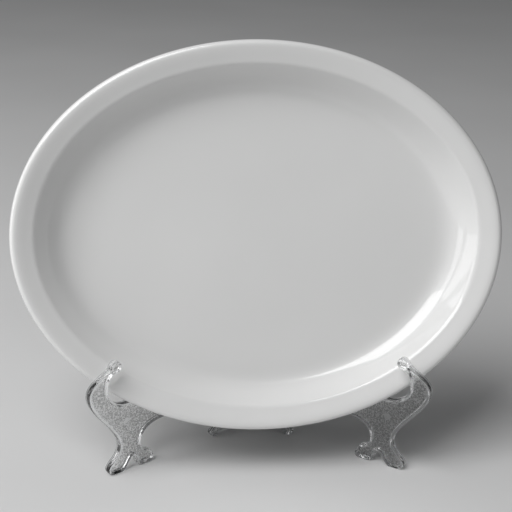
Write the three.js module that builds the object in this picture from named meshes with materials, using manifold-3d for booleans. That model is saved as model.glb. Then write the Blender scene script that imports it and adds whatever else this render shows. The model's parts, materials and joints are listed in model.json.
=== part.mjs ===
// An oval china serving platter standing in its clear folding display stand.
// The platter is one glazed piece. The stand is two mirrored frames that share a vertical
// hinge at the back: one frame carries the pin, the other the clips that snap onto it.
// Millimetres, +X to the platter's right as seen from the front, +Y to the back, +Z up.
import * as THREE from 'three';
import { mergeVertices } from 'three/addons/utils/BufferGeometryUtils.js';
import Module from 'manifold-3d';

const wasm = await Module();
wasm.setup();

// ---- Driving dimensions -------------------------------------------------------------------

// Platter: heights are above the plane of the foot ring, insets are in from the outer edge.
const platterLength = 254;
const platterWidth = 200.7;
const platterHeight = 24;
const rimThickness = 5.2;
const rimBand = 12; // flat border, from the outer edge to where the wall begins
const rimRise = 3.2; // the border climbs this much towards its outer edge
const wallFoot = 24; // inset where the wall meets the cove, at the two ends of the oval
const wallSquare = 0.28; // how much steeper the wall is along the sides than at the ends
const coveEnd = 37; // inset where the cove has run out into the flat floor
const floorThickness = 4.5;
const footRecess = 2; // the glazed bottom lies this far above the foot ring
const footInset = 38;
const footWidth = 4.6;
const wallThickness = 4.4;

// Stand: reach is measured from the hinge axis along a frame, height is above the table.
const lean = THREE.MathUtils.degToRad(16); // platter from upright
const toeing = THREE.MathUtils.degToRad(34.6); // each frame from the X axis
const frameWall = 4;
const foldGap = 0.5; // between the two frames when the empty stand is folded flat
const seatReach = 84.7; // centre of the platter's rounded edge, half way through the frame
const seatHeight = 45.5;
const toeReach = 87.6;
const toePad = 6.6;
const innerToeReach = 71.9;
const innerToePad = 5.4;
const archHeight = 24.4;
const heelReach = 7;
const heelPad = 16;
const hookDepth = 11.4; // from the front of the groove to the belly of the hook
const tipRadius = 3;
const tipForward = 4.2; // centre of the hook's round tip, from the rim seat
const tipAbove = 16.7;
const restHeight = 112; // middle of the pad that the platter's back leans on
const restPad = 9;
const uprightTop = 8; // from the middle of that pad to the top of the frame
const crownWidth = 4; // least width of the upright at the top of that pad

// Hinge
const pinRadius = 2;
const knuckleRadius = 4;
const knuckleLow = 32;
const knuckleDrop = 16; // from the top of the frame to the top knuckle
const knuckleCount = 5;

// Clearances
const seatGap = 0.6; // rim to groove floor
const restGap = 0.35; // glazed bottom to rest pad
const frontPlay = 3.7; // room in the groove in front of the rim
const backGap = 3.6; // room in the groove behind the rim
const uprightGap = 1.4; // foot ring to upright
const pinGap = 0.3;
const knuckleGap = 0.4;

// Facets
const ovalSteps = 72;
const curveSteps = 4;
const roundSteps = 24;

// ---- Solids -------------------------------------------------------------------------------

function solidOf(geometry) {
  const bare = geometry.index ? geometry.toNonIndexed() : geometry.clone();
  bare.deleteAttribute('normal');
  bare.deleteAttribute('uv');
  const merged = mergeVertices(bare, 1e-4);
  const corners = merged.index.array;
  const kept = [];
  for (let i = 0; i < corners.length; i += 3) {
    const [a, b, c] = [corners[i], corners[i + 1], corners[i + 2]];
    if (a !== b && b !== c && c !== a) kept.push(a, b, c);
  }
  const vertProperties = new Float32Array(merged.attributes.position.array);
  return new wasm.Manifold(new wasm.Mesh({ numProp: 3, vertProperties, triVerts: new Uint32Array(kept) }));
}

function geometryOf(solid) {
  const mesh = solid.getMesh();
  const geometry = new THREE.BufferGeometry();
  geometry.setAttribute('position', new THREE.BufferAttribute(new Float32Array(mesh.vertProperties), 3));
  geometry.setIndex(new THREE.BufferAttribute(new Uint32Array(mesh.triVerts), 1));
  const flat = geometry.toNonIndexed();
  flat.computeVertexNormals();
  return flat;
}

function mirrored(geometry) {
  const copy = geometry.clone().scale(-1, 1, 1);
  const position = copy.attributes.position;
  const a = new THREE.Vector3();
  const b = new THREE.Vector3();
  for (let i = 0; i < position.count; i += 3) {
    a.fromBufferAttribute(position, i + 1);
    b.fromBufferAttribute(position, i + 2);
    position.setXYZ(i + 1, b.x, b.y, b.z);
    position.setXYZ(i + 2, a.x, a.y, a.z);
  }
  copy.computeVertexNormals();
  return copy;
}

// ---- Platter ------------------------------------------------------------------------------

const halfLength = platterLength / 2;
const halfWidth = platterWidth / 2;
const rimRadius = rimThickness / 2;
const bandInner = platterHeight - rimRise;
const rimCentreHeight = platterHeight - rimRadius;
const floorTop = footRecess + floorThickness;
const footInner = footInset + footWidth;

// A point of the oval that lies `inset` in from the edge, square to the edge. Past the
// border the inset shrinks towards the long sides, where the wall is steeper.
function ovalPoint(inset, angle) {
  const side = Math.sin(angle) ** 2;
  const real = inset - wallSquare * Math.max(0, inset - rimBand) * side;
  const across = halfWidth * Math.cos(angle);
  const along = halfLength * Math.sin(angle);
  const size = Math.hypot(across, along);
  return new THREE.Vector2(
    halfLength * Math.cos(angle) - (real * across) / size,
    halfWidth * Math.sin(angle) - (real * along) / size,
  );
}

// The section from the middle of the glazed bottom, out round the edge and back to the
// middle of the well, as (inset from the edge, height). `skin` lays an even layer on the rim.
function platterSection() {
  const path = new THREE.Path();
  const middle = halfLength;
  const rimUnder = platterHeight - rimThickness;
  const wallTop = new THREE.Vector2(rimBand + 1.6, bandInner - 2);
  const wallEnd = new THREE.Vector2(wallFoot - 1.5, floorTop + 3.4);
  const down = wallEnd.clone().sub(wallTop).normalize();
  const through = new THREE.Vector2(down.y, -down.x).multiplyScalar(wallThickness);
  const outerTop = wallTop.clone().add(through);
  const outerEnd = wallEnd.clone().add(through);
  path.moveTo(middle, footRecess);
  path.lineTo(footInner + 1, footRecess);
  path.quadraticCurveTo(footInner, footRecess, footInner - 0.6, 0.6);
  path.quadraticCurveTo(footInner - 1, 0, footInner - 1.8, 0);
  path.lineTo(footInset + 1.2, 0);
  path.quadraticCurveTo(footInset, 0, footInset - 0.8, 1.2);
  path.bezierCurveTo(
    footInset - 5, footRecess + 0.4, outerEnd.x + 5 * down.x, outerEnd.y + 5 * down.y, outerEnd.x, outerEnd.y,
  );
  path.lineTo(outerTop.x, outerTop.y);
  path.quadraticCurveTo(outerTop.x - 1.2, outerTop.y + 1.2, rimBand / 2, rimUnder - rimRise / 2);
  path.lineTo(rimRadius, rimUnder);
  path.absarc(rimRadius, rimCentreHeight, rimRadius, -Math.PI / 2, -Math.PI * 1.5, true);
  path.lineTo(rimBand - 1.6, bandInner + 0.15);
  path.quadraticCurveTo(rimBand + 0.2, bandInner - 0.1, wallTop.x, wallTop.y);
  path.lineTo(wallEnd.x, wallEnd.y);
  path.quadraticCurveTo(wallFoot + 2.4, floorTop, coveEnd, floorTop);
  path.lineTo(middle, floorTop);
  return path.getPoints(curveSteps);
}

// The section is turned on a wheel, then every ring is moved onto its oval. Inside the foot
// the rings shrink evenly to the middle.
function platterGeometry() {
  const section = platterSection();
  const profile = section.map((p) => new THREE.Vector2(Math.max(0, halfLength - p.x), p.y));
  const geometry = new THREE.LatheGeometry(profile, ovalSteps);
  const position = geometry.attributes.position;
  const innerRadius = halfLength - (footInner + 2);
  for (let i = 0; i < position.count; i += 1) {
    const radius = Math.hypot(position.getX(i), position.getZ(i));
    const angle = (Math.floor(i / profile.length) / ovalSteps) * Math.PI * 2;
    const ring = Math.max(radius, innerRadius);
    const spot = ovalPoint(halfLength - ring, angle).multiplyScalar(radius / ring);
    position.setXYZ(i, spot.x, spot.y, position.getY(i));
  }
  return geometry;
}

// ---- Where the platter stands -------------------------------------------------------------

// Frame directions in plan, for the right-hand frame.
const forward = new THREE.Vector2(Math.cos(toeing), -Math.sin(toeing));
const outward = new THREE.Vector2(Math.sin(toeing), Math.cos(toeing));
const innerFace = foldGap / 2;
const middleFace = innerFace + frameWall / 2;

// The edge's angle round the oval where its rounded rim crosses the middle of the frame.
const seatX = seatReach * forward.x + middleFace * outward.x;
const seatY = seatReach * forward.y + middleFace * outward.y;
let seatAngle = -Math.acos(seatX / (halfLength - rimRadius));
for (let i = 0; i < 20; i += 1) {
  seatAngle -= (ovalPoint(rimRadius, seatAngle).x - seatX) / (-halfLength * Math.sin(seatAngle));
}
const seatPoint = ovalPoint(rimRadius, seatAngle);

// The centre of the foot plane, set so that the rim sits in both grooves.
const platterUp = new THREE.Vector3(0, Math.sin(lean), Math.cos(lean));
const platterFace = new THREE.Vector3(0, -Math.cos(lean), Math.sin(lean));
const platterCentre = new THREE.Vector3(0, seatY, seatHeight)
  .addScaledVector(platterUp, -seatPoint.y)
  .addScaledVector(platterFace, -rimCentreHeight);

// Reach at which the right-hand frame's inner corner meets the plane `height` above the foot
// plane, at a given height above the table.
function backReach(height, z) {
  const y = platterCentre.y - height / Math.cos(lean) + (z - platterCentre.z) * Math.tan(lean);
  return (y - innerFace * outward.y) / forward.y;
}

// How the rim runs through the frame: its shift along the frame and up, per mm of wall.
const rimAhead = new THREE.Vector3(
  -halfLength * Math.sin(seatAngle),
  halfWidth * Math.cos(seatAngle) * platterUp.y,
  halfWidth * Math.cos(seatAngle) * platterUp.z,
);
const rimThrough = rimAhead.x * outward.x + rimAhead.y * outward.y;
const driftAlong = (rimAhead.x * forward.x + rimAhead.y * forward.y) / rimThrough;
const driftUp = rimAhead.z / rimThrough;
const rimHalfReach = rimRadius * Math.hypot(1, driftAlong) + (Math.abs(driftAlong) * frameWall) / 2;
const rimHalfHeight = rimRadius * Math.hypot(1, driftUp) + (Math.abs(driftUp) * frameWall) / 2;

// ---- Stand --------------------------------------------------------------------------------

const grooveFloor = seatHeight - rimHalfHeight - seatGap;
const grooveFront = seatReach + rimHalfReach + frontPlay;
const grooveBack = seatReach - rimHalfReach - backGap;
const belly = grooveFront + hookDepth;
const bellyHeight = seatHeight + 3.8;
const tipReach = seatReach + tipForward;
const tipHeight = seatHeight + tipAbove;
const backstopHeight = seatHeight - 1.6;
const spineReach = knuckleRadius + knuckleGap;
const uprightBase = seatHeight + 5.4;
const restInset = restGap / (Math.cos(lean) * Math.sin(toeing));

const uprightReach = (z) => backReach(0, z) - uprightGap;
const padReach = (z) => backReach(footRecess, z) - restInset;

// The pad sits at its height, or lower where a steeper lean or a shorter reach would leave the
// upright no width beside it.
const backSlope = Math.tan(lean) / Math.sin(toeing);
const highestRest = (padReach(0) - spineReach - crownWidth) / backSlope - restPad / 2;
const restMiddle = Math.min(restHeight, highestRest);
const restLow = restMiddle - restPad / 2;
const restTop = restMiddle + restPad / 2;
const frameTop = restMiddle + uprightTop;
const knuckleHigh = frameTop - knuckleDrop;

// One frame's outline as (reach, height), anticlockwise from the front toe.
function frameOutline() {
  const shape = new THREE.Shape();
  const toeFront = toeReach + toePad / 2;
  const waist = toeFront - 3.5;
  shape.moveTo(toeReach - toePad / 2, 0);
  shape.lineTo(toeFront, 0);
  shape.bezierCurveTo(toeFront + 2.6, 0, toeFront + 4.2, 2, toeFront + 3.5, 4.4);
  shape.bezierCurveTo(toeFront + 2.7, 7, waist + 0.6, 9.5, waist, 15);
  shape.bezierCurveTo(waist - 0.2, bellyHeight - 22.6, belly, bellyHeight - 12, belly, bellyHeight);
  shape.bezierCurveTo(belly, bellyHeight + 6, belly - 7.2, bellyHeight + 8.6, belly - 13.2, tipHeight - 0.6);
  shape.quadraticCurveTo(tipReach + 3.6, tipHeight + 0.2, tipReach + 2.3, tipHeight + 1.93);
  shape.absarc(tipReach, tipHeight, tipRadius, 0.7, 4.9, false);
  shape.bezierCurveTo(
    tipReach + 4, tipHeight - 4, grooveFront, tipHeight - 7, grooveFront, seatHeight + 4.8,
  );
  shape.bezierCurveTo(grooveFront, seatHeight - 0.6, seatReach + 4.3, grooveFloor, seatReach - 0.8, grooveFloor);
  shape.bezierCurveTo(
    grooveBack - 0.4, grooveFloor, grooveBack + 0.2, backstopHeight - 1.4, grooveBack - 2, backstopHeight,
  );
  shape.bezierCurveTo(
    grooveBack - 7, backstopHeight + 1.4, grooveBack - 11, grooveFloor, grooveBack - 17, grooveFloor,
  );
  shape.bezierCurveTo(
    grooveBack - 22, grooveFloor, uprightReach(uprightBase) + 6 * backSlope, uprightBase - 6,
    uprightReach(uprightBase), uprightBase,
  );
  shape.lineTo(uprightReach(restLow - 8), restLow - 8);
  shape.bezierCurveTo(
    uprightReach(restLow - 4), restLow - 4, padReach(restLow - 4), restLow - 4, padReach(restLow), restLow,
  );
  shape.lineTo(padReach(restTop), restTop);
  const crown = (padReach(restTop) + spineReach) / 2;
  const crownHandle = (padReach(restTop) - spineReach) / 4;
  shape.bezierCurveTo(padReach(restTop + 1.5), restTop + 1.5, crown + crownHandle, frameTop, crown, frameTop);
  shape.bezierCurveTo(crown - crownHandle, frameTop, spineReach, frameTop - 2, spineReach, frameTop - 7);
  const footTop = knuckleLow - 6;
  const toeRise = heelReach + heelPad + 3.4;
  shape.lineTo(spineReach, footTop);
  shape.bezierCurveTo(spineReach, footTop - 8, heelReach + 0.6, footTop - 10, heelReach - 0.6, 7);
  shape.bezierCurveTo(heelReach - 1.4, 4.8, heelReach - 3, 0, heelReach, 0);
  shape.lineTo(heelReach + heelPad, 0);
  shape.bezierCurveTo(toeRise + 1, 0, toeRise + 1.2, 3.4, toeRise - 1.6, 4.6);
  shape.bezierCurveTo(toeRise - 5, 6.4, toeRise - 3, archHeight, toeRise + 8, archHeight);
  const neck = innerToeReach + 2.4;
  const curl = innerToeReach - innerToePad / 2;
  shape.lineTo(neck - 16.3, archHeight);
  shape.bezierCurveTo(neck - 6.8, archHeight, neck - 0.3, archHeight - 3.4, neck, 14.3);
  shape.bezierCurveTo(neck, 10.4, neck - 1.7, 9.4, curl + 0.6, 8.4);
  shape.bezierCurveTo(curl - 3.4, 6.8, curl - 5.6, 0, curl, 0);
  const innerFront = innerToeReach + innerToePad / 2;
  const notch = (innerFront + toeReach - toePad / 2) / 2;
  shape.lineTo(innerFront, 0);
  shape.bezierCurveTo(innerFront + 3.2, 0.2, notch - 2.2, 7.3, notch, 7.3);
  shape.bezierCurveTo(notch + 2.2, 7.3, toeReach - toePad / 2 - 2, 0.2, toeReach - toePad / 2, 0);
  return shape;
}

// Shapes are drawn as (reach, height) and pushed through the wall. A frame is built along the
// X axis, with its outer side to +Y, and turned to its toeing angle at the end.
function slab(shape, from, to) {
  const geometry = new THREE.ExtrudeGeometry(shape, {
    depth: to - from,
    bevelEnabled: false,
    curveSegments: curveSteps,
  });
  return solidOf(geometry.translate(0, 0, -to).rotateX(Math.PI / 2));
}

function post(radius, low, high) {
  const geometry = new THREE.CylinderGeometry(radius, radius, high - low, roundSteps);
  return solidOf(geometry.rotateX(Math.PI / 2).translate(0, 0, (low + high) / 2));
}

function block(x0, x1, y0, y1, z0, z1) {
  const geometry = new THREE.BoxGeometry(x1 - x0, y1 - y0, z1 - z0);
  return solidOf(geometry.translate((x0 + x1) / 2, (y0 + y1) / 2, (z0 + z1) / 2));
}

const knucklePitch = (knuckleHigh - knuckleLow) / knuckleCount;

function knuckleSpan(index) {
  const low = knuckleLow + index * knucklePitch + knuckleGap / 2;
  return [low, low + knucklePitch - knuckleGap];
}

// A knuckle and the web that joins it to the frame's spine.
function knuckle(index) {
  const [low, high] = knuckleSpan(index);
  const web = block(0, spineReach + 3, innerFace, innerFace + frameWall, low, high);
  return post(knuckleRadius, low, high).add(web);
}

// The pin frame: knuckles 0, 2 and 4 carry one pin through all five.
function pinHinge() {
  const [low] = knuckleSpan(0);
  const [, high] = knuckleSpan(knuckleCount - 1);
  let solid = post(pinRadius, low, high);
  for (let i = 0; i < knuckleCount; i += 2) solid = solid.add(knuckle(i));
  return solid;
}

// The clip frame: knuckles 1 and 3 are bored for the pin, and slit at the back to snap on.
function clipHinge() {
  const slit = pinRadius * 0.8;
  let solid = null;
  for (let i = 1; i < knuckleCount; i += 2) {
    const [low, high] = knuckleSpan(i);
    const bore = post(pinRadius + pinGap, low - 1, high + 1);
    const mouth = block(-knuckleRadius - 1, 0, -slit, slit, low - 1, high + 1);
    const clip = knuckle(i).subtract(bore).subtract(mouth);
    solid = solid ? solid.add(clip) : clip;
  }
  return solid;
}

// A frame stands with its inner face just off the hinge's plane, so that the empty stand
// folds flat.
function frameGeometry(hinge) {
  const plate = slab(frameOutline(), innerFace, innerFace + frameWall);
  const geometry = geometryOf(plate.add(hinge));
  return geometry.rotateZ(-toeing);
}

// ---- Assembly -----------------------------------------------------------------------------

const glaze = new THREE.MeshStandardMaterial({ color: 0xe9e8e6, roughness: 0.12, metalness: 0 });
const clearPlastic = new THREE.MeshStandardMaterial({
  color: 0xdfe3e6,
  roughness: 0.08,
  metalness: 0,
  transparent: true,
  opacity: 0.45,
});

function piece(name, geometry, material) {
  const mesh = new THREE.Mesh(geometry, material);
  mesh.name = name;
  return mesh;
}

const platter = piece('platter', geometryOf(solidOf(platterGeometry())), glaze);
platter.rotation.x = Math.PI / 2 - lean;
platter.position.copy(platterCentre);

const stand = new THREE.Group();
stand.add(piece('right_frame', frameGeometry(pinHinge()), clearPlastic));
stand.add(piece('left_frame', mirrored(frameGeometry(clipHinge())), clearPlastic));

// The origin is on the table, under the middle of the whole object.
const assembly = new THREE.Group();
assembly.add(platter, stand);
assembly.updateMatrixWorld(true);
const extent = new THREE.Box3().setFromObject(assembly, true);
assembly.position.y = -(extent.min.y + extent.max.y) / 2;

export default assembly;
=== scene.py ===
# A white oval china platter, standing in a clear folding display stand of two hinged frames.
# Metres, with the table at z = 0, +X to the right, +Y to the back and +Z up. Each piece's own
# sizes are drawn in millimetres and scaled by MM.
import json
import math
import random

import bmesh
import bpy
from mathutils import Matrix, Quaternion, Vector, noise
from mathutils.bvhtree import BVHTree
from mathutils.geometry import delaunay_2d_cdt, interpolate_bezier


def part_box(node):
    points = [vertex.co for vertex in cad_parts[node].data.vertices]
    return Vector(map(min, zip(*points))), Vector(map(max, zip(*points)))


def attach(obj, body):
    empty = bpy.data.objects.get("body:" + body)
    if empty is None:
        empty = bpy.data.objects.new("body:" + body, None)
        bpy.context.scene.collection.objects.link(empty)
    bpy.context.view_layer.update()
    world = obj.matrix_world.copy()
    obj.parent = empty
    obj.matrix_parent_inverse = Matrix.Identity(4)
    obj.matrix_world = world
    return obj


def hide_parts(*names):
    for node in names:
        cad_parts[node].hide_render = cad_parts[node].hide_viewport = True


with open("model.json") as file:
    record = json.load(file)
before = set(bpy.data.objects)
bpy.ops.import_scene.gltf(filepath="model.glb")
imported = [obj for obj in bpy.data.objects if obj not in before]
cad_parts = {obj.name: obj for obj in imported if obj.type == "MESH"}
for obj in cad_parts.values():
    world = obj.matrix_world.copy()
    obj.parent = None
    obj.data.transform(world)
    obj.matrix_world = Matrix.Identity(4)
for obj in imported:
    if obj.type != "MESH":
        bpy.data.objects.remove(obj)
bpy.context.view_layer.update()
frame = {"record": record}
MM = 0.001

# ---- Platter ------------------------------------------------------------------------------
# One piece of white vitrified china, pressed and turned on a wheel head, then glazed all
# over. Only the foot ring, which it stands on in the kiln, is wiped bare. Sizes are in
# millimetres: an inset is in from the edge, a height is above the foot ring.
PLATTER_LEAN = math.radians(16)
HALF_LENGTH = (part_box("platter")[1][0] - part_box("platter")[0][0]) / 2 / MM
HALF_WIDTH = 100.35
BORDER = 12.0
WALL_SQUARE = 0.28
FOOT_INSIDE = 46.0
BARE_BELOW = 0.02  # the foot ring's flat is left unglazed
OVAL_STEPS = 320


def curve(start, towards, away, end, steps):
    """Points after start on the curve that leaves it towards one handle and ends from the other."""
    knots = [Vector((*p, 0)) for p in (start, towards, away, end)]
    return [(p.x, p.y) for p in interpolate_bezier(*knots, steps + 1)][1:]


def joined(start, *stretches):
    """An outline from stretches of (handle, handle, end, steps), or of a bare point for a line."""
    points = [start]
    for stretch in stretches:
        if len(stretch) == 2:
            points.append(stretch)
        else:
            points += curve(points[-1], *stretch)
    return points


platter_section = joined(
    (HALF_LENGTH, 2.0), (90, 2.0), (60, 2.0), (FOOT_INSIDE, 2.0),
    ((44.6, 2.0), (43.2, 1.9), (42.6, 0.9), 6),  # glazed fillet inside the foot
    ((42.4, 0.3), (42.0, 0.0), (41.5, 0.0), 4),
    (39.3, 0.0),  # the bare ring
    ((38.7, 0.0), (38.2, 0.3), (37.9, 0.9), 4),
    ((34.5, 2.8), (23.4, 3.0), (19.4, 6.7), 14),
    (15.0, 11.2),
    (10.7, 15.5),
    ((9.3, 16.8), (7.6, 16.9), (6.0, 17.3), 6),
    (3.6, 18.3),
    ((1.3, 19.1), (0.0, 19.8), (0.0, 21.3), 8),  # the rounded edge
    ((0.0, 22.9), (1.1, 24.0), (2.7, 24.0), 8),
    ((5.0, 23.6), (8.0, 22.1), (10.2, 21.35), 5),  # the border falls towards the well
    ((11.9, 20.8), (12.6, 20.1), (13.6, 18.8), 8),
    ((16.2, 15.7), (19.4, 11.9), (22.8, 9.4), 12),
    ((26.2, 6.9), (30.0, 6.5), (37.0, 6.5), 12),
    (60, 6.5), (90, 6.5), (HALF_LENGTH, 6.5),
)

platter_mesh = bmesh.new()
rim_line = [
    platter_mesh.verts.new(((HALF_LENGTH - inset) * MM, 0, height * MM))
    for inset, height in platter_section
]
for here, there in zip(rim_line, rim_line[1:]):
    platter_mesh.edges.new((here, there))
bmesh.ops.spin(
    platter_mesh, geom=platter_mesh.verts[:] + platter_mesh.edges[:], cent=(0, 0, 0), axis=(0, 0, 1),
    angle=math.tau, steps=OVAL_STEPS, use_merge=True, use_duplicate=False,
)
bmesh.ops.remove_doubles(platter_mesh, verts=platter_mesh.verts, dist=0.005 * MM)


def onto_oval(vert):
    """Moves a point of the turned shape onto the oval, square to the edge at its angle."""
    radius = math.hypot(vert.co.x, vert.co.y) / MM
    angle = math.atan2(vert.co.y, vert.co.x)
    ring = max(radius, HALF_LENGTH - FOOT_INSIDE)
    inset = HALF_LENGTH - ring
    inset -= WALL_SQUARE * max(0, inset - BORDER) * math.sin(angle) ** 2
    across = HALF_WIDTH * math.cos(angle)
    along = HALF_LENGTH * math.sin(angle)
    size = math.hypot(across, along)
    share = MM * radius / ring
    vert.co.x = share * (HALF_LENGTH * math.cos(angle) - inset * across / size)
    vert.co.y = share * (HALF_WIDTH * math.sin(angle) - inset * along / size)


for vert in platter_mesh.verts:
    onto_oval(vert)
bmesh.ops.recalc_face_normals(platter_mesh, faces=platter_mesh.faces)
for face in platter_mesh.faces:
    face.material_index = 1 if face.calc_center_median().z < BARE_BELOW * MM else 0
bmesh.ops.rotate(
    platter_mesh, verts=platter_mesh.verts, cent=(0, 0, 0),
    matrix=Matrix.Rotation(math.pi / 2 - PLATTER_LEAN, 3, "X"),
)


def box_middle(low, high):
    return (Vector(low) + Vector(high)) / 2


def mesh_middle(mesh):
    spots = [v.co for v in mesh.verts]
    return box_middle(*[[side(p[i] for p in spots) for i in range(3)] for side in (min, max)])


bmesh.ops.translate(
    platter_mesh, verts=platter_mesh.verts, vec=box_middle(*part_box("platter")) - mesh_middle(platter_mesh),
)


def order_faces(mesh):
    """Puts the faces in the order of their corners: a spin or a bevel leaves them in any order."""
    mesh.verts.index_update()
    count = len(mesh.verts)

    def place(face):
        corners = [vert.index for vert in face.verts]
        return (min(corners) * count + max(corners)) * 4 * count + sum(corners)

    mesh.faces.sort(key=place)


def finished(name, mesh, materials, crease):
    """A finished object from a mesh, smooth but for edges sharper than the crease angle."""
    order_faces(mesh)
    data = bpy.data.meshes.new(name)
    mesh.to_mesh(data)
    mesh.free()
    for material in materials:
        data.materials.append(material)
    data.shade_smooth()
    data.set_sharp_from_angle(angle=math.radians(crease))
    made = bpy.data.objects.new(name, data)
    bpy.context.scene.collection.objects.link(made)
    return made


def material(name):
    """A new node material: its nodes, its links and its shader."""
    made = bpy.data.materials.new(name)
    made.use_nodes = True
    return made, made.node_tree.nodes, made.node_tree.links, made.node_tree.nodes["Principled BSDF"]


def add(nodes, kind, **inputs):
    """A node with its sockets set by name."""
    node = nodes.new(kind)
    for name, value in inputs.items():
        node.inputs[name.replace("_", " ")].default_value = value
    return node


def grain(nodes, links, scale, detail=2.0):
    """Noise that is fixed to the piece, in features of 1/scale metres."""
    place = add(nodes, "ShaderNodeTexCoord")
    made = add(nodes, "ShaderNodeTexNoise", Scale=scale, Detail=detail)
    links.new(place.outputs["Object"], made.inputs["Vector"])
    return made.outputs["Fac"]


def ramp(nodes, links, source, *stops):
    """Colours over a range of the source: stops are (place, colour or grey)."""
    made = nodes.new("ShaderNodeValToRGB")
    band = made.color_ramp
    while len(band.elements) < len(stops):
        band.elements.new(0.5)
    for element, (place, colour) in zip(band.elements, stops):
        element.position = place
        element.color = (*colour, 1) if isinstance(colour, tuple) else (colour, colour, colour, 1)
    links.new(source, made.inputs["Fac"])
    return made.outputs["Color"]


def relief(nodes, links, source, height, under=None):
    """A bump of that height in metres, on top of another one if there is one."""
    made = add(nodes, "ShaderNodeBump", Distance=height, Strength=1.0)
    links.new(source, made.inputs["Height"])
    if under:
        links.new(under, made.inputs["Normal"])
    return made.outputs["Normal"]


glaze, nodes, links, shader = material("china_glaze")
shader.inputs["Coat Weight"].default_value = 1.0
shader.inputs["Coat Roughness"].default_value = 0.07
shader.inputs["Coat IOR"].default_value = 1.5
tint = ramp(nodes, links, grain(nodes, links, 9), (0.35, (0.80, 0.80, 0.795)), (0.65, (0.83, 0.83, 0.825)))
matte = ramp(nodes, links, grain(nodes, links, 60), (0.3, 0.3), (0.7, 0.42))
links.new(tint, shader.inputs["Base Color"])
links.new(matte, shader.inputs["Roughness"])
waves = relief(nodes, links, grain(nodes, links, 22, 1.0), 0.00025)
peel = relief(nodes, links, grain(nodes, links, 420, 2.0), 0.000004, waves)
links.new(peel, shader.inputs["Coat Normal"])
links.new(peel, shader.inputs["Normal"])

biscuit, nodes, links, shader = material("bare_foot")
clay = ramp(nodes, links, grain(nodes, links, 500, 6.0), (0.3, (0.60, 0.57, 0.52)), (0.7, (0.74, 0.71, 0.66)))
matte = ramp(nodes, links, grain(nodes, links, 900), (0.3, 0.75), (0.7, 0.95))
grit = relief(nodes, links, grain(nodes, links, 2500, 4.0), 0.00008)
links.new(clay, shader.inputs["Base Color"])
links.new(matte, shader.inputs["Roughness"])
links.new(grit, shader.inputs["Normal"])

platter = finished("china_platter", platter_mesh, (glaze, biscuit), 60)
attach(platter, "platter")
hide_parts("platter")

# ---- Stand frames -------------------------------------------------------------------------
# Two mirrored mouldings of clear styrene. A smooth bead follows each outline, and inside it
# the face sinks to a panel, pebbled on the face that looks forward. Sizes are in millimetres:
# a reach is measured from the hinge along the frame, a height is off the table.
TOEING = math.radians(34.6)
FACE_IN = 0.25
FACE_OUT = 4.25
SPINE = 4.4
PEBBLE_GRID = 0.34
PLAIN_GRID = 3.0  # the back face has no grain to follow
PEBBLE_SIZE = 0.95
PEBBLE_HEIGHT = 0.18
MARKS = [((83.1, 29.5), 1.7)]  # the ring that an ejector pin leaves, by its middle and radius
MARK_EDGE = 0.3
MARK_WIDTH = 0.22

hinge_joint = next(j for j in frame["record"]["behaviour"]["joints"] if j["name"] == "stand_fold")
hinge_y = hinge_joint["pos_m"][1] / MM


def tip_arc(middle, radius, first, last, steps):
    """Points round a hook's tip, as (reach, height), between two angles in radians."""
    turns = [first + (last - first) * i / steps for i in range(steps + 1)]
    return [(middle[0] + radius * math.cos(t), middle[1] + radius * math.sin(t)) for t in turns]


frame_outline = joined(
    (86.4, 0), (88.6, 0), (90.7, 0),
    ((93.3, 0.0), (95.1, 2.0), (94.4, 4.4), 10),  # front toe
    ((93.6, 7.0), (88.0, 9.5), (87.4, 15.0), 10),
    ((87.2, 26.7), (105.7, 37.3), (105.7, 49.3), 22),
    ((105.7, 55.3), (98.5, 57.9), (92.5, 61.6), 12),
    ((92.5, 62.2), (91.8, 63.4), (91.2, 64.13), 4),
    *tip_arc((88.9, 62.2), 3, 0.7, 4.9, 16)[1:],  # round tip of the hook
    ((92.9, 58.2), (94.3, 55.2), (94.3, 50.3), 10),
    ((94.3, 44.9), (89.0, 40.1), (83.9, 40.1), 14),  # groove for the rim
    ((74.8, 40.1), (75.4, 42.5), (73.2, 43.9), 10),
    ((68.2, 45.3), (64.2, 40.1), (58.2, 40.1), 12),
    ((53.2, 40.1), (41.5, 44.9), (38.5, 50.9), 10),
    (30.3, 67.1), (22.1, 83.3), (13.9, 99.5),
    ((11.9, 103.5), (16.3, 103.5), (14.3, 107.5), 8),
    (9.8, 116.5),  # pad that the platter's back leans on
    ((9.0, 118.0), (8.4, 120.0), (7.1, 120.0), 8),
    ((5.7, 120.0), (SPINE, 118.0), (SPINE, 113.0), 8),
    (SPINE, 70), (SPINE, 26),
    ((SPINE, 18.0), (7.6, 16.0), (6.4, 7.0), 12),
    ((5.6, 4.8), (4.0, 0.0), (7.0, 0.0), 8),  # heel
    (23.0, 0),
    ((27.4, 0.0), (27.6, 3.4), (24.8, 4.6), 8),
    ((21.4, 6.4), (23.4, 24.4), (34.4, 24.4), 14),
    (46, 24.4), (58, 24.4),
    ((67.5, 24.4), (74.0, 21.0), (74.3, 14.3), 12),
    ((74.3, 10.4), (72.6, 9.4), (69.8, 8.4), 6),
    ((65.6, 6.8), (64.0, 0.0), (69.4, 0.0), 14),  # inner toe
    (73.6, 0),
    ((77.6, 0.2), (77.0, 7.3), (79.45, 7.3), 10),
    ((81.3, 7.3), (83.0, 0.8), (86.4, 0.0), 10),
)[:-1]


# How deep a face lies under its highest level, by the distance in from the outline: a rounded
# edge, the bead's crown and the fall to the panel.
BEAD = [
    (0.0, 0.55), (0.08, 0.26), (0.20, 0.13), (0.36, 0.03), (0.55, 0.0), (0.85, 0.0),
    (1.10, 0.04), (1.30, 0.14), (1.46, 0.32), (1.58, 0.52), (1.70, 0.62), (1.90, 0.65),
]
PANEL_SINK = BEAD[-1][1]
PANEL_START = BEAD[-1][0]


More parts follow.
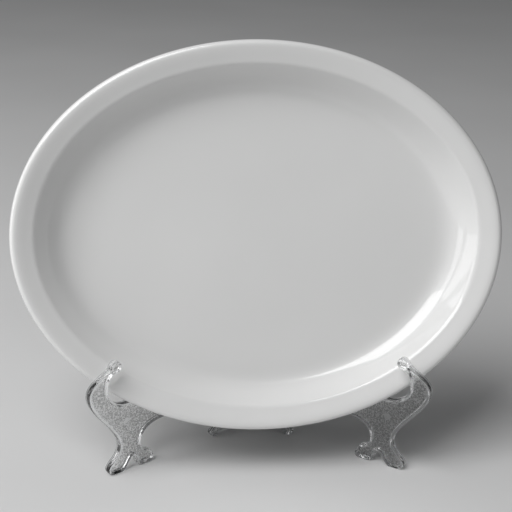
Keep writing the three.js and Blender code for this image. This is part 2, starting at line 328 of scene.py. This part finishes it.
def bead_depth(inset):
    """The depth of the bead at a distance in from the outline."""
    for (near, high), (far, low) in zip(BEAD, BEAD[1:]):
        if inset < far:
            return high + (low - high) * max(0.0, inset - near) / (far - near)
    return PANEL_SINK


def offset_points(ring, inset):
    """The outline's points moved in by a distance, square to the outline."""
    moved = []
    for i, (x, z) in enumerate(ring):
        before = Vector(ring[i]) - Vector(ring[i - 1])
        after = Vector(ring[(i + 1) % len(ring)]) - Vector(ring[i])
        across = (before.normalized() + after.normalized()).normalized()
        inward = Vector((-across.y, across.x))
        moved.append(Vector((x, z)) + inward * inset / max(0.5, across.dot(after.normalized())))
    return moved


def crossings(ring, height):
    """Where a level line crosses an outline, in order."""
    found = []
    for (x0, z0), (x1, z1) in zip(ring, ring[1:] + ring[:1]):
        if (z0 <= height) != (z1 <= height):
            found.append(x0 + (x1 - x0) * (height - z0) / (z1 - z0))
    return sorted(found)


def pebble(reach, height, inset):
    """How far the moulded grain stands up at a point of the panel, with the ejector marks."""
    for (x, z), radius in MARKS:
        away = math.hypot(reach - x, height - z)
        if away < radius + MARK_EDGE:
            return MARK_EDGE * math.exp(-(((away - radius) / MARK_WIDTH) ** 2))
    spot = Vector((reach, height, 0)) / PEBBLE_SIZE
    near = noise.voronoi(spot)[0][0]
    fade = min(1.0, max(0.0, (inset - PANEL_START) / 0.4))
    return fade * PEBBLE_HEIGHT * (1.0 - min(1.0, near) ** 2 + 0.5 * noise.noise(spot * 2.3))


def face_points(ring, depth_to, step, seed):
    """Points that a face is drawn through: the bead's rows, then a jittered grid on the panel."""
    points = [Vector(p) for p in ring]
    for inset, _ in BEAD[1:]:
        points += [p for p in offset_points(ring, inset) if depth_to(p) > inset - 0.015]
    dice = random.Random(seed)
    low, high = min(z for x, z in ring), max(z for x, z in ring)
    rows = int((high - low) / step)
    for row in range(1, rows):
        z = low + row * step
        cuts = crossings(ring, z)
        for left, right in zip(cuts[::2], cuts[1::2]):
            count = int((right - left) / step)
            for i in range(1, count):
                x = left + (right - left) * (i + 0.25 * (row % 2 * 2 - 1)) / count
                shake = Vector((dice.uniform(-0.1, 0.1), dice.uniform(-0.1, 0.1)))
                point = Vector((x, z)) + shake * step
                if depth_to(point) > PANEL_START + 0.6 * min(step, 0.5):
                    points.append(point)
    return points


def plate(seed):
    """A frame's flat part, in the hinge's own plane: reach along X, outward along Y."""
    ring = frame_outline
    mesh = bmesh.new()
    edge_levels = (FACE_IN + BEAD[0][1], FACE_OUT - BEAD[0][1])
    borders = [
        [mesh.verts.new((x * MM, level * MM, z * MM)) for x, z in ring] for level in edge_levels
    ]
    for i in range(len(ring)):
        k = (i + 1) % len(ring)
        mesh.faces.new((borders[0][i], borders[1][i], borders[1][k], borders[0][k]))
    walls = BVHTree.FromBMesh(mesh)
    half_way = (FACE_IN + FACE_OUT) / 2

    def depth_to(point):
        return walls.find_nearest((point.x * MM, half_way * MM, point.y * MM))[3] / MM

    edges = [(i, (i + 1) % len(ring)) for i in range(len(ring))]
    sides = ((borders[0], FACE_IN, 1, PEBBLE_GRID), (borders[1], FACE_OUT, -1, PLAIN_GRID))
    for border, level, side, step in sides:
        points = face_points(ring, depth_to, step, seed)
        spots, _, faces, origins, _, _ = delaunay_2d_cdt(points, edges, [], 1, 1e-5)
        corners = []
        insets = []
        for spot, origin in zip(spots, origins):
            on_border = [o for o in origin if o < len(ring)]
            inset = 0.0 if on_border else depth_to(spot)
            insets.append(inset)
            if on_border:
                corners.append(border[on_border[0]])
            else:
                depth = bead_depth(inset)
                if side == 1 and inset > PANEL_START:
                    depth -= pebble(spot.x, spot.y, inset)
                corners.append(mesh.verts.new((spot.x * MM, (level + side * depth) * MM, spot.y * MM)))
        for trio in faces:
            made = mesh.faces.new([corners[i] for i in (trio if side == 1 else reversed(trio))])
            on_mark = any(math.dist(spots[trio[0]], spot) < radius + MARK_EDGE for spot, radius in MARKS)
            if side == 1 and min(insets[i] for i in trio) > PANEL_START - 0.1 and not on_mark:
                made.material_index = 1
    bmesh.ops.recalc_face_normals(mesh, faces=mesh.faces)
    return mesh


# Hinge: one frame has a pin through its three knuckles, the other two slit knuckles that
# snap onto it. Both are moulded with their frame.
PIN_RADIUS = 2.0
KNUCKLE_RADIUS = 4.0
KNUCKLE_LOW = 32.0
KNUCKLE_PITCH = 14.4
KNUCKLE_GAP = 0.4
CLIP_ROOM = 0.3
SLIT_HALF = 1.6
WEB_END = 1.1  # the web ends this far past the frame's spine


def rod(mesh, radius, low, high, softened):
    """An upright round bar on the hinge's axis, its end edges rounded."""
    made = bmesh.ops.create_cone(
        mesh, cap_ends=True, segments=64, radius1=radius * MM, radius2=radius * MM,
        depth=(high - low) * MM, matrix=Matrix.Translation((0, 0, (low + high) / 2 * MM)),
    )["verts"]
    if softened:
        edges = [edge for edge in mesh.edges if edge.verts[0] in made]
        rims = [edge for edge in edges if abs(edge.verts[0].co.z - edge.verts[1].co.z) < MM / 100]
        bmesh.ops.bevel(
            mesh, geom=rims, offset=softened * MM, offset_type="OFFSET", segments=3, profile=0.5,
            affect="EDGES", material=-1,
        )


def bar(mesh, low, high):
    """A plain block between two corners in millimetres."""
    size = Vector(high) - Vector(low)
    place = Matrix.Translation(box_middle(low, high) * MM) @ Matrix.Diagonal((*size * MM, 1))
    bmesh.ops.create_cube(mesh, size=1, matrix=place)


def shaped(base, other, operation):
    """The first mesh joined to, or cut by, the second."""
    made = []
    for mesh in (base, other):
        order_faces(mesh)
        data = bpy.data.meshes.new("work")
        mesh.to_mesh(data)
        mesh.free()
        made.append(bpy.data.objects.new("work", data))
        bpy.context.scene.collection.objects.link(made[-1])
    tool = made[0].modifiers.new("work", "BOOLEAN")
    tool.operation = operation
    tool.solver = "MANIFOLD"
    tool.object = made[1]
    ready = made[0].evaluated_get(bpy.context.evaluated_depsgraph_get())
    result = bmesh.new()
    result.from_mesh(ready.to_mesh())
    ready.to_mesh_clear()
    for thing in made:
        data = thing.data
        bpy.data.objects.remove(thing)
        bpy.data.meshes.remove(data)
    return result


def knuckle_span(index):
    low = KNUCKLE_LOW + index * KNUCKLE_PITCH + KNUCKLE_GAP / 2
    return low, low + KNUCKLE_PITCH - KNUCKLE_GAP


def knuckles(indexes):
    """Knuckles, each with the web that runs into the frame's spine."""
    mesh = bmesh.new()
    for index in indexes:
        low, high = knuckle_span(index)
        rod(mesh, KNUCKLE_RADIUS, low, high, 0.3)
    webs = bmesh.new()
    for index in indexes:
        low, high = knuckle_span(index)
        bar(webs, (0, FACE_IN + 0.05, low + 0.3), (SPINE + WEB_END, FACE_OUT - 0.35, high - 0.3))
    return shaped(mesh, webs, "UNION")


def pin_hinge():
    pin = bmesh.new()
    rod(pin, PIN_RADIUS, knuckle_span(0)[0] + 1, knuckle_span(4)[1] - 1, 0)
    return shaped(knuckles((0, 2, 4)), pin, "UNION")


def clip_hinge():
    mesh = knuckles((1, 3))
    for index in (1, 3):
        low, high = knuckle_span(index)
        bore = bmesh.new()
        rod(bore, PIN_RADIUS + CLIP_ROOM, low - 1, high + 1, 0)
        mesh = shaped(mesh, bore, "DIFFERENCE")
        mouth = bmesh.new()
        bar(mouth, (-KNUCKLE_RADIUS - 1, -SLIT_HALF, low - 1), (0, SLIT_HALF, high + 1))
        mesh = shaped(mesh, mouth, "DIFFERENCE")
    return mesh


def styrene(name):
    """Clear moulded styrene, before its finish."""
    made, nodes, links, shader = material(name)
    shader.inputs["Base Color"].default_value = (0.955, 0.965, 0.97, 1)
    shader.inputs["Transmission Weight"].default_value = 1.0
    shader.inputs["IOR"].default_value = 1.59
    return made, nodes, links, shader


clear, nodes, links, shader = styrene("clear_styrene")
polish = ramp(nodes, links, grain(nodes, links, 80), (0.3, 0.015), (0.75, 0.05))
links.new(polish, shader.inputs["Roughness"])
links.new(relief(nodes, links, grain(nodes, links, 260, 2.0), 0.00002), shader.inputs["Normal"])

frosted_with_painted_light, nodes, links, shader = styrene("pebbled_styrene_painted_light")
# Painted shade and glints: the clear panel's colour is speckled from dark grey to near white. This stands in
# for the darkness and the bright sparkle that the pebbled grain gives the light.
painted_shade_and_glints = ramp(nodes, links, grain(nodes, links, 1200, 3.0), (0.44, 0.30), (0.60, 0.98))
frost = ramp(nodes, links, grain(nodes, links, 700), (0.3, 0.10), (0.7, 0.25))
links.new(painted_shade_and_glints, shader.inputs["Base Color"])
links.new(frost, shader.inputs["Roughness"])
links.new(relief(nodes, links, grain(nodes, links, 1900, 3.0), 0.00008), shader.inputs["Normal"])

stand_to_world = Matrix.Translation((0, hinge_y * MM, 0)) @ Matrix.Rotation(-TOEING, 4, "Z")
across_middle = Matrix.Scale(-1, 4, (1, 0, 0))


def stand_frame(name, hinge, seed, to_world, body):
    """One moulded frame: its plate and its half of the hinge, in their place under the platter."""
    mesh = shaped(plate(seed), hinge, "UNION")
    bmesh.ops.transform(mesh, matrix=to_world, verts=mesh.verts)
    bmesh.ops.recalc_face_normals(mesh, faces=mesh.faces)
    made = finished(name, mesh, (clear, frosted_with_painted_light), 40)
    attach(made, body)
    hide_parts(body)
    return made


stand_frame("right_stand_frame", pin_hinge(), 3, stand_to_world, "right_frame")
stand_frame("left_stand_frame", clip_hinge(), 4, across_middle @ stand_to_world, "left_frame")

# ---- Studio -------------------------------------------------------------------------------
# A wide pale table top under a dim room, with a large softbox at the upper left and three tall
# narrow ones standing at the left, which show as soft stripes in the platter's right wall.
FLOOR_HALF = 3.0
TALL_BEARINGS = (-6, 7, 20)  # degrees forward of the left
TALL_AWAY = 1.2
TALL_HEIGHT = 0.48
CAMERA_RISE = math.radians(22.07)
CAMERA_SIDE = math.radians(6.59)
CAMERA_ROLL = math.radians(2.33)
CAMERA_AWAY = 0.6
CAMERA_AIM = Vector((0, hinge_y * MM - 0.037, 0.110))
VIEW_WIDTH = 0.25965
VIEW_SHIFT = (-0.0126, 0.0272)
SENSOR = 36.0

table_mesh = bmesh.new()
bmesh.ops.create_grid(table_mesh, x_segments=1, y_segments=1, size=FLOOR_HALF)
table_finish, nodes, links, shader = material("table_top")
links.new(ramp(nodes, links, grain(nodes, links, 4), (0.3, 0.72), (0.7, 0.76)), shader.inputs["Base Color"])
shader.inputs["Roughness"].default_value = 0.7
table_top = finished("table_top", table_mesh, (table_finish,), 30)


def aimed(place, target, roll=0.0):
    """A turn that points an object's -Z from its place to the target, +Y up, then rolled."""
    turn = (Vector(target) - Vector(place)).to_track_quat("-Z", "Y")
    return (turn @ Quaternion((0, 0, 1), roll)).to_euler()


platter_middle = box_middle(*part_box("platter"))


def softbox(name, place, target, width, height, power):
    lamp = bpy.data.lights.new(name, "AREA")
    lamp.shape = "RECTANGLE"
    lamp.size = width
    lamp.size_y = height
    lamp.energy = power
    made = bpy.data.objects.new(name, lamp)
    bpy.context.scene.collection.objects.link(made)
    made.location = place
    made.rotation_euler = aimed(place, target)


softbox("key", (-0.70, -0.54, 1.31), platter_middle, 1.1, 1.1, 18.5)
for index, bearing in enumerate(math.radians(degrees) for degrees in TALL_BEARINGS):
    place = (-TALL_AWAY * math.cos(bearing), -TALL_AWAY * math.sin(bearing), TALL_HEIGHT)
    softbox("tall_%d" % index, place, (0, 0, TALL_HEIGHT), 0.19, 0.9, 1.3)

world = bpy.data.worlds.new("studio")
world.use_nodes = True
world.node_tree.nodes["Background"].inputs["Color"].default_value = (0.78, 0.79, 0.80, 1)
world.node_tree.nodes["Background"].inputs["Strength"].default_value = 0.13
bpy.context.scene.world = world
bpy.context.scene.view_settings.view_transform = "Standard"

to_camera = Vector((
    -math.sin(CAMERA_SIDE) * math.cos(CAMERA_RISE),
    -math.cos(CAMERA_SIDE) * math.cos(CAMERA_RISE),
    math.sin(CAMERA_RISE),
))
lens = bpy.data.cameras.new("camera")
lens.sensor_width = SENSOR
lens.lens = SENSOR * CAMERA_AWAY / VIEW_WIDTH
lens.shift_x, lens.shift_y = VIEW_SHIFT
camera = bpy.data.objects.new("camera", lens)
bpy.context.scene.collection.objects.link(camera)
camera.location = CAMERA_AIM + to_camera * CAMERA_AWAY
camera.rotation_euler = aimed(camera.location, CAMERA_AIM, CAMERA_ROLL)
bpy.context.scene.camera = camera
